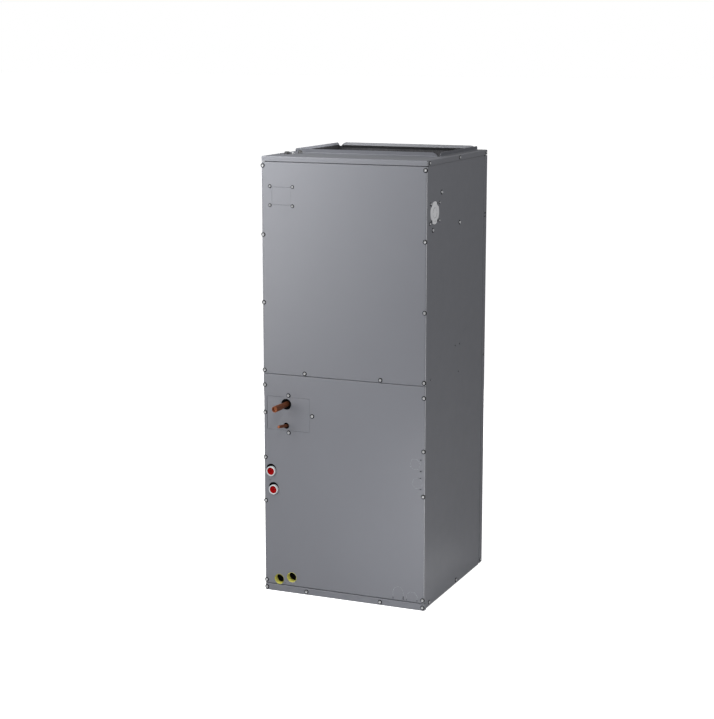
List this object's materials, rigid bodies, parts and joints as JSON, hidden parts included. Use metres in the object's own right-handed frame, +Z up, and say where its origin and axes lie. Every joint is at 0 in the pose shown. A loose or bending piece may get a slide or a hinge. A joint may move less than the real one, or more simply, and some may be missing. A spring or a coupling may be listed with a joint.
{
  "type": "air handling unit",
  "caption": "Upright painted sheet-metal air handler with a flanged supply opening on top, an open return base, two-part front cover, copper line stubs, drain sockets and plugged side drains.",
  "frame": {"origin": "on the floor, under the middle of the plan outline with the copper stubs included", "axes": "+Z up along the cabinet, +X to the right seen from the front, front face towards -Y"},
  "size_m": [0.5382, 0.616, 1.368],
  "materials": {
    "front_paint": "satin grey paint",
    "casing_paint": "satin grey paint",
    "galvanised": "zinc coated steel",
    "zinc_screw": "zinc plated steel",
    "copper": "dull copper",
    "white_plastic": "moulded white plastic",
    "red_plastic": "moulded red plastic",
    "yellow_plastic": "moulded olive yellow plastic",
    "bare_plate": "bare punched steel",
    "liner": "dark coated glass-fibre liner",
    "motor_black": "black enamel",
    "coil_fin": "aluminium fins",
    "pan_plastic": "moulded black plastic"
  },
  "bodies": {
    "root": {"base_rail_front": "front_paint", "base_rail_back": "galvanised", "base_rail_left": "galvanised", "base_rail_right": "galvanised", "left_side_panel": "casing_paint", "right_side_panel": "casing_paint", "back_panel": "casing_paint", "upper_front_panel": "front_paint", "lower_front_panel": "front_paint", "front_mid_rail": "galvanised", "top_cap": "casing_paint", "duct_flange_front": "casing_paint", "duct_flange_back": "casing_paint", "duct_flange_left": "casing_paint", "duct_flange_right": "casing_paint", "cap_screws": "zinc_screw", "breaker_cover_plate": "front_paint", "line_set_cover_plate": "front_paint", "suction_stub": "copper", "liquid_stub": "copper", "upper_side_drain_ring": "white_plastic", "lower_side_drain_ring": "white_plastic", "upper_side_drain_plug": "red_plastic", "lower_side_drain_plug": "red_plastic", "left_drain_socket": "yellow_plastic", "right_drain_socket": "yellow_plastic", "left_conduit_plate": "bare_plate", "right_conduit_plate": "bare_plate", "liner_left": "liner", "liner_right": "liner", "liner_back": "liner", "liner_front_upper": "liner", "liner_front_lower": "liner", "blower_deck": "galvanised", "blower_side_left": "galvanised", "blower_side_right": "galvanised", "blower_scroll_back": "galvanised", "blower_scroll_front": "galvanised", "blower_wheel": "galvanised", "blower_motor": "motor_black", "coil_slab_left": "coil_fin", "coil_slab_right": "coil_fin", "coil_end_plate_front": "galvanised", "coil_end_plate_back": "galvanised", "drain_pan": "pan_plastic"}
  },
  "joints": []
}
